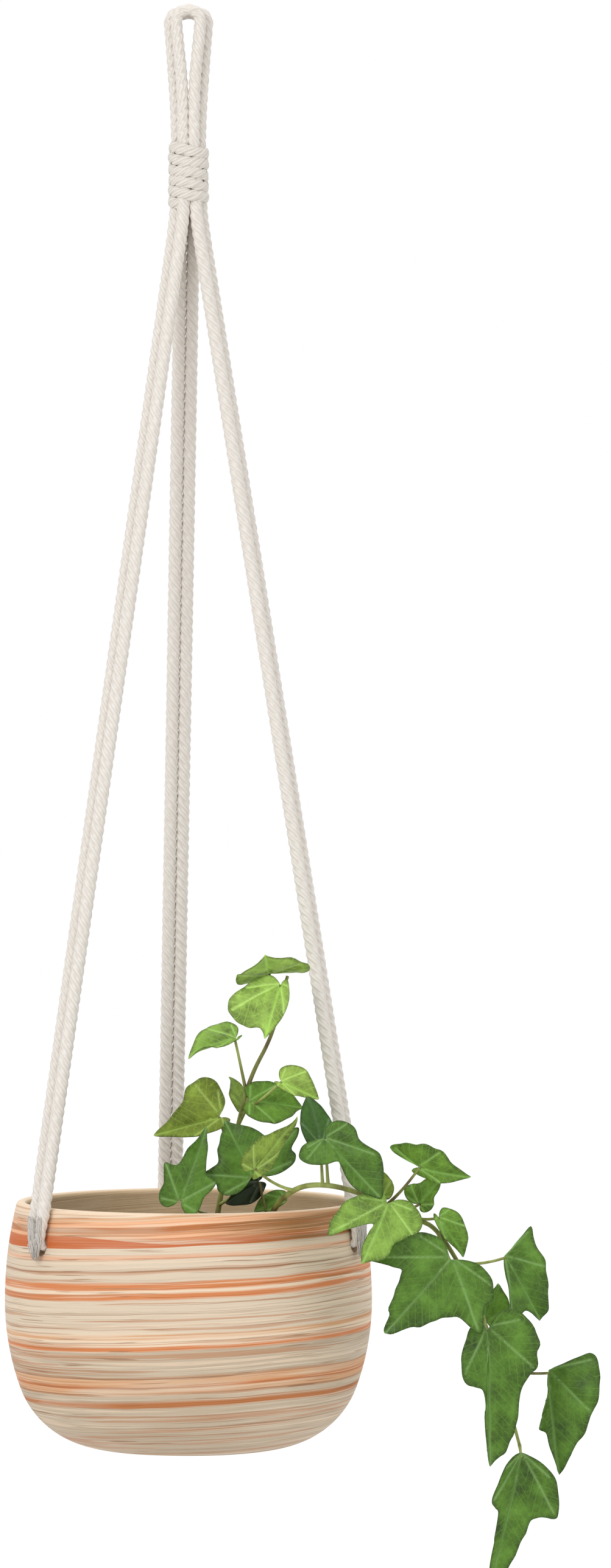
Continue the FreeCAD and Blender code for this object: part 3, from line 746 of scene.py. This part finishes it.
# Outlines of half a blade from its base to its tip: shares of the midrib's length, and of the half's
# width. Each ends with the two points that its side veins run to.
OUTLINES = {
    "star": ([(0.03, 0.0), (-0.06, 0.16), (-0.12, 0.40), (-0.08, 0.66), (0.04, 0.80), (0.16, 0.80),
              (0.28, 0.92), (0.39, 0.98), (0.41, 0.76), (0.43, 0.56), (0.51, 0.46), (0.64, 0.38),
              (0.78, 0.25), (0.90, 0.10), (1.0, 0.0)], (0.38, 0.94), (-0.04, 0.66)),
    "round": ([(0.03, 0.0), (-0.07, 0.20), (-0.10, 0.45), (-0.02, 0.72), (0.12, 0.92), (0.28, 1.0),
               (0.44, 0.96), (0.58, 0.82), (0.72, 0.62), (0.84, 0.38), (0.94, 0.16), (1.0, 0.0)],
              (0.46, 0.86), (0.0, 0.62)),
    "broad": ([(0.03, 0.0), (-0.09, 0.22), (-0.12, 0.52), (-0.03, 0.84), (0.12, 1.0), (0.26, 0.96),
               (0.36, 0.84), (0.44, 0.68), (0.54, 0.58), (0.68, 0.54), (0.82, 0.42), (0.94, 0.20),
               (1.0, 0.0)], (0.30, 0.88), (-0.04, 0.62)),
    "shoulder": ([(0.03, 0.0), (-0.08, 0.25), (-0.06, 0.62), (0.06, 0.90), (0.20, 0.98), (0.34, 0.86),
                  (0.50, 0.90), (0.66, 0.98), (0.80, 0.80), (0.92, 0.42), (1.0, 0.0)],
                 (0.62, 0.86), (0.10, 0.86)),
    "notched": ([(0.03, 0.0), (-0.08, 0.30), (-0.12, 0.70), (-0.02, 0.98), (0.14, 0.90), (0.27, 0.58),
                 (0.35, 0.22), (0.44, 0.18), (0.58, 0.30), (0.74, 0.38), (0.89, 0.26), (1.0, 0.0)],
                (0.06, 0.84), (-0.06, 0.60)),
    "swept": ([(0.03, 0.0), (-0.10, 0.22), (-0.02, 0.50), (0.14, 0.74), (0.32, 0.98), (0.60, 1.10),
               (0.88, 1.04), (0.70, 0.72), (0.50, 0.36), (0.42, 0.14), (0.54, 0.16), (0.76, 0.17),
               (0.92, 0.10), (1.0, 0.0)], (0.82, 1.0), (0.16, 0.66)),
    "hood": ([(0.0, 0.0), (-0.05, 0.20), (-0.02, 0.40), (0.12, 0.62), (0.26, 0.76), (0.42, 0.94),
              (0.58, 1.02), (0.74, 0.94), (0.88, 0.66), (0.90, 0.40), (0.86, 0.20), (0.92, 0.08), (1.0, 0.0)],
             (0.68, 0.88), (0.26, 0.70)),
    "knob": ([(0.03, 0.0), (-0.10, 0.30), (-0.08, 0.65), (0.02, 0.92), (0.14, 1.0), (0.30, 0.95),
              (0.42, 0.80), (0.54, 0.56), (0.64, 0.42), (0.80, 0.24), (0.92, 0.10), (1.0, 0.0)],
             (0.26, 0.88), (-0.04, 0.60)),
    "lance": ([(0.03, 0.0), (-0.06, 0.30), (0.02, 0.62), (0.14, 0.76), (0.30, 0.88), (0.46, 0.98),
               (0.58, 1.02), (0.55, 0.84), (0.48, 0.62), (0.44, 0.47), (0.50, 0.40), (0.64, 0.33),
               (0.80, 0.20), (0.92, 0.08), (1.0, 0.0)], (0.55, 0.96), (0.06, 0.62)),
    "horned": ([(0.0, 0.0), (-0.05, 0.35), (-0.11, 0.72), (-0.16, 1.02), (-0.02, 0.98), (0.16, 0.92),
                (0.34, 0.92), (0.48, 0.76), (0.66, 0.64), (0.84, 0.40), (0.94, 0.28), (1.0, 0.0)],
               (0.40, 0.82), (-0.12, 0.90)),
    "drawn": ([(0.0, 0.0), (0.10, 0.20), (0.25, 0.40), (0.43, 0.55), (0.62, 0.78), (0.82, 1.0),
               (0.84, 0.70), (0.79, 0.36), (0.86, 0.20), (0.94, 0.10), (1.0, 0.0)],
              (0.78, 0.90), (0.36, 0.40)),
    "lobed": ([(0.03, 0.0), (-0.05, 0.30), (0.01, 0.62), (0.14, 0.90), (0.26, 1.0), (0.38, 0.86),
               (0.43, 0.50), (0.47, 0.22), (0.56, 0.14), (0.70, 0.18), (0.84, 0.10), (0.94, 0.06),
               (1.0, 0.0)], (0.33, 0.86), (0.02, 0.56)),
    "fan": ([(0.0, 0.0), (-0.04, 0.30), (-0.09, 0.60), (-0.12, 0.86), (-0.04, 0.99), (0.12, 1.0),
             (0.36, 0.88), (0.55, 0.70), (0.72, 0.48), (0.88, 0.22), (1.0, 0.0)],
            (0.44, 0.76), (-0.06, 0.86)),
    "spur": ([(0.0, 0.0), (0.10, 0.12), (0.25, 0.26), (0.42, 0.62), (0.56, 1.0), (0.61, 0.58),
              (0.72, 0.38), (0.86, 0.20), (1.0, 0.0)], (0.54, 0.88), (0.30, 0.30)),
    "wedge": ([(0.0, 0.0), (0.02, 0.30), (0.06, 0.55), (0.13, 0.80), (0.24, 0.94), (0.36, 1.0),
               (0.40, 0.78), (0.43, 0.52), (0.55, 0.44), (0.72, 0.34), (0.86, 0.20), (0.95, 0.08),
               (1.0, 0.0)], (0.35, 0.92), (0.12, 0.66)),
    "raked": ([(0.03, 0.0), (-0.22, 0.24), (-0.56, 0.56), (-0.34, 0.82), (-0.08, 0.90), (0.10, 1.0),
               (0.32, 0.94), (0.50, 0.86), (0.66, 0.52), (0.84, 0.24), (1.0, 0.0)],
              (0.42, 0.80), (-0.46, 0.58)),
}
HUB = (0.16, 0.0)


def from_rim(place):
    return V((place[0], place[1], place[2])) / 1000 + V((0, 0, RIM_Z))


def edge_point(turn, halves):
    """The leaf's edge from its base, round by the tip and back, in shares of its length and in metres."""
    name, width = halves[0 if turn < 0.5 else 1]
    edge = OUTLINES[name][0]
    along = (turn if turn < 0.5 else 1 - turn) * 2 * (len(edge) - 1)
    index = min(int(along), len(edge) - 2)
    t = along - index
    four = [edge[max(0, min(len(edge) - 1, index + k))] for k in (-1, 0, 1, 2)]
    u, w = (0.5 * (2 * b + (c - a) * t + (2 * a - 5 * b + 4 * c - d) * t * t
                   + (3 * b - a - 3 * c + d) * t ** 3) for a, b, c, d in zip(*four))
    return u, max(0.0, w) * width / 1000 * (1 if turn < 0.5 else -1)


def leaf_blade(name, base, tip, right, halves, fold, droop, age, seed):
    """A lobed, veined blade: folded along its midrib, puffed between its veins, with a thin edge."""
    along = tip - base
    length = along.length
    along.normalize()
    normal = along.cross(V(right)).normalized()
    if normal.y > 0:
        normal = -normal
    across = normal.cross(along)
    reach = max(width for _, width in halves) / 1000
    veins = [V((length, 0))]
    for sign, (outline, width) in zip((1, -1), halves):
        veins += [V((u * length, w * width / 1000 * sign)) for u, w in OUTLINES[outline][1:]]
    facts = {}

    def nearest_vein(flat):
        best = (1.0, 0.0)
        for end in veins:
            run = max(0.0, min(1.0, flat.dot(end) / end.dot(end)))
            gap = (flat - end * run).length
            best = min(best, (gap, run * end.length))
        return best

    def surface(turn, share):
        u, w = edge_point(turn, halves)
        spread = share ** 0.85
        flat = V(((HUB[0] + (u - HUB[0]) * spread) * length, w * spread))
        flat *= 1 + 0.06 * share * noise.noise(V((flat.x * 130, flat.y * 130, seed)))
        gap, run = nearest_vein(flat)
        lift = fold * abs(flat.y) * (1 - 0.4 * abs(flat.y) / reach)
        lift -= droop * length * (flat.x / length) ** 2
        lift += 0.0011 * math.sqrt(min(gap, 0.004) / 0.004) - 0.0004 * math.exp(-(gap / 0.0004) ** 2)
        lift += 0.0032 * share ** 2 * noise.noise(V((flat.x * 75, flat.y * 75, seed * 3)))
        spot = base + along * flat.x + across * flat.y + normal * lift
        facts[spot.to_tuple(6)] = (gap, run, share)
        return spot
    bm = bmesh.new()
    polar_grid(bm, 128, 20, surface)
    layers = [bm.verts.layers.float.new(label) for label in ("vein_gap", "vein_run", "edge_share")]
    for vertex in bm.verts:
        gap, run, share = facts.get(vertex.co.to_tuple(6), (0.0, 0.0, 0.0))
        for layer, value in zip(layers, (gap * 1000, run * 1000, share)):
            vertex[layer] = value
    piece = finish_mesh(name, bm, leaf_material(age))
    if sum(face.normal.dot(normal) for face in piece.data.polygons) < 0:
        piece.data.flip_normals()
    wall = piece.modifiers.new("blade", "SOLIDIFY")
    wall.thickness = 0.0004
    wall.offset = -1
    return piece


LEAF_MATERIALS = {}


def leaf_material(age):
    """Green by age, with pale main veins, finer side veins and a mottled waxy surface."""
    shade = round(age * 4) / 4
    if shade in LEAF_MATERIALS:
        return LEAF_MATERIALS[shade]
    material, tree, shader = new_material("ivy_leaf_%d" % (100 + shade * 100), 0.5, Specular_IOR_Level=0.3)
    ages = [(-1, srgb(112, 128, 26)), (0, srgb(146, 179, 80)), (0.5, srgb(98, 138, 42)),
            (1, srgb(50, 88, 20)), (1.3, srgb(14, 24, 10))]
    for (start, first), (end, second) in zip(ages, ages[1:]):
        if start <= shade <= end:
            tone = tuple(a + (b - a) * (shade - start) / (end - start) for a, b in zip(first, second))
    light = tuple(min(1.0, c * 1.6 + 0.012) for c in tone)
    dark = tuple(c * 0.36 for c in tone)
    cloud = object_noise(tree, 85.0, detail=3.0)
    speck = object_noise(tree, 700.0, detail=3.0)
    colour = ramp(tree, cloud, [(0.26, dark), (0.50, tone), (0.72, light)])
    colour = mix_colour(tree, ramp(tree, speck, [(0.35, 0.25), (0.65, 0.0)]), colour, dark)
    gap = node(tree, "ShaderNodeAttribute", attribute_name="vein_gap").outputs["Fac"]
    run = node(tree, "ShaderNodeAttribute", attribute_name="vein_run").outputs["Fac"]
    edge = node(tree, "ShaderNodeAttribute", attribute_name="edge_share").outputs["Fac"]
    colour = mix_colour(tree, ramp(tree, edge, [(0.84, 0.0), (0.97, 0.65), (1.0, 0.9)]), colour, dark)
    net = node(tree, "ShaderNodeTexVoronoi", feature="DISTANCE_TO_EDGE", in_Scale=330.0)
    link(tree, node(tree, "ShaderNodeTexCoord").outputs["Object"], net.inputs["Vector"])
    colour = mix_colour(tree, ramp(tree, net.outputs[0], [(0.02, 0.22), (0.10, 0.0)]), colour, light)
    main = ramp(tree, maths(tree, "MULTIPLY", gap, 0.2), [(0.04, 1.0), (0.11, 0.35), (0.26, 0.0)])
    branch = maths(tree, "SUBTRACT", run, maths(tree, "MULTIPLY", gap, 1.1))
    branch = maths(tree, "FRACT", maths(tree, "DIVIDE", branch, 5.5))
    branch = maths(tree, "ABSOLUTE", maths(tree, "SUBTRACT", branch, 0.5))
    side = ramp(tree, branch, [(0.0, 0.55), (0.05, 0.15), (0.11, 0.0)])
    pale = tuple(min(1.0, c * 1.9 + 0.10) for c in tone)
    colour = mix_colour(tree, side, colour, light)
    colour = mix_colour(tree, maths(tree, "MULTIPLY", main, 0.8), colour, pale)
    link(tree, colour, shader.inputs["Base Color"])
    relief = maths(tree, "SUBTRACT", maths(tree, "MULTIPLY", speck, 0.5), maths(tree, "MULTIPLY", side, 0.6))
    bump(tree, relief, shader, 0.35, 0.0005)
    link(tree, ramp(tree, cloud, [(0.3, 0.45), (0.7, 0.6)]), shader.inputs["Roughness"])
    LEAF_MATERIALS[shade] = material
    return material


def stem_material():
    material, tree, shader = new_material("ivy_stem", 0.6)
    tone = ramp(tree, object_noise(tree, 90.0, (1, 1, 0.35)),
                [(0.35, srgb(96, 84, 46)), (0.5, srgb(132, 140, 66)), (0.68, srgb(172, 186, 104))])
    link(tree, tone, shader.inputs["Base Color"])
    bump(tree, object_noise(tree, 900.0, (1, 1, 0.3)), shader, 0.4, 0.0004)
    return material


def add_shoot(stem_name, first, material):
    bm = bmesh.new()
    uv = bm.loops.layers.uv.new("lay")
    route = [from_rim(p) for p in STEMS[stem_name]]
    line, _ = route_points(stem_name + "_route", route, 0.0016)
    add_tube(bm, uv, line, lambda share: 0.0017 - 0.0008 * share, 10)
    for number, leaf in enumerate(LEAVES[stem_name], start=first):
        joint, base, tip, right, left_half, right_half, fold, droop, age = leaf
        joint, base, tip = from_rim(joint), from_rim(base), from_rim(tip)
        foot = min(line, key=lambda p: (p - joint).length)
        sag = V((0, 0, -0.12)) * (base - foot).length * (1 if stem_name == "trailing_stem" else 0.4)
        stalk, _ = route_points("stalk", [foot, foot.lerp(base, 0.5) + sag,
                                          base + (tip - base) * HUB[0] * 0.2], 0.0012)
        add_tube(bm, uv, stalk, lambda share: 0.00075 + 0.00035 * (1 - share) ** 3, 7)
        blade = leaf_blade("ivy_blade_%02d" % number, base, tip, right, (left_half, right_half),
                           fold, droop, age, number)
        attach(blade, "plant")
        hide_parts("ivy_leaf_%02d" % number)
    shoot = finish_mesh(stem_name + "_and_stalks", bm, material)
    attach(shoot, "plant")
    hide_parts(stem_name)


stem_finish = stem_material()
add_shoot("upright_stem", 1, stem_finish)
add_shoot("trailing_stem", len(LEAVES["upright_stem"]) + 1, stem_finish)


# ---- studio --------------------------------------------------------------------------------------
def straight_rays(tree):
    """1 for the rays that come from the camera, a mirror or a clear piece, 0 for those that light."""
    path = node(tree, "ShaderNodeLightPath").outputs
    seen = maths(tree, "MAXIMUM", path["Is Camera Ray"], path["Is Glossy Ray"])
    return maths(tree, "MAXIMUM", seen, path["Is Transmission Ray"])


def choose_shader(tree, factor, first, second, output):
    choose = node(tree, "ShaderNodeMixShader")
    for socket, source in zip(choose.inputs, (factor, first.outputs[0], second.outputs[0])):
        link(tree, source, socket)
    link(tree, choose.outputs[0], node(tree, output).inputs[0])


def studio_material(name, camera_strength):
    """Pale matt paper that a camera or a mirror sees as white, with the object's shadow left on it."""
    material = bpy.data.materials.new(name)
    material.use_nodes = True
    tree = material.node_tree
    tree.nodes.clear()
    paper = node(tree, "ShaderNodeBsdfDiffuse", in_Color=(0.82, 0.81, 0.80, 1))
    glow = node(tree, "ShaderNodeEmission", in_Color=(1, 1, 1, 1), in_Strength=camera_strength)
    dim = node(tree, "ShaderNodeBsdfDiffuse", in_Color=(0.12, 0.12, 0.12, 1))
    both = node(tree, "ShaderNodeAddShader")
    link(tree, glow.outputs[0], both.inputs[0])
    link(tree, dim.outputs[0], both.inputs[1])
    choose_shader(tree, straight_rays(tree), paper, both, "ShaderNodeOutputMaterial")
    return material


def add_studio():
    floor_z = cad_low.z - 0.08
    bm = bmesh.new()
    bmesh.ops.create_grid(bm, x_segments=1, y_segments=1, size=9.0,
                          matrix=Matrix.Translation((0, 0, floor_z)))
    finish_mesh("floor", bm, studio_material("floor_paper", 0.93), smooth=False)
    world = bpy.data.worlds.new("studio")
    bpy.context.scene.world = world
    world.use_nodes = True
    tree = world.node_tree
    tree.nodes.clear()
    light = node(tree, "ShaderNodeBackground", in_Color=(1, 1, 1, 1), in_Strength=0.68)
    white = node(tree, "ShaderNodeBackground", in_Color=(1, 1, 1, 1), in_Strength=1.0)
    choose_shader(tree, straight_rays(tree), light, white, "ShaderNodeOutputWorld")
    aim = V((0, 0, -0.45))
    lamps = [("key", (-1.6, -2.2, 0.9), 1.4, 31), ("fill", (2.2, -1.6, 0.1), 1.6, 11),
             ("top", (0.2, 0.4, 1.6), 1.4, 11), ("rim", (0.6, 2.4, 0.2), 1.4, 10)]
    for name, place, extent, power in lamps:
        data = bpy.data.lights.new(name, "AREA")
        data.size, data.energy = extent, power
        lamp = bpy.data.objects.new(name, data)
        lamp.location = place
        lamp.rotation_euler = (aim - V(place)).to_track_quat("-Z", "Y").to_euler()
        bpy.context.scene.collection.objects.link(lamp)
    bpy.context.scene.view_settings.view_transform = "Standard"


add_studio()
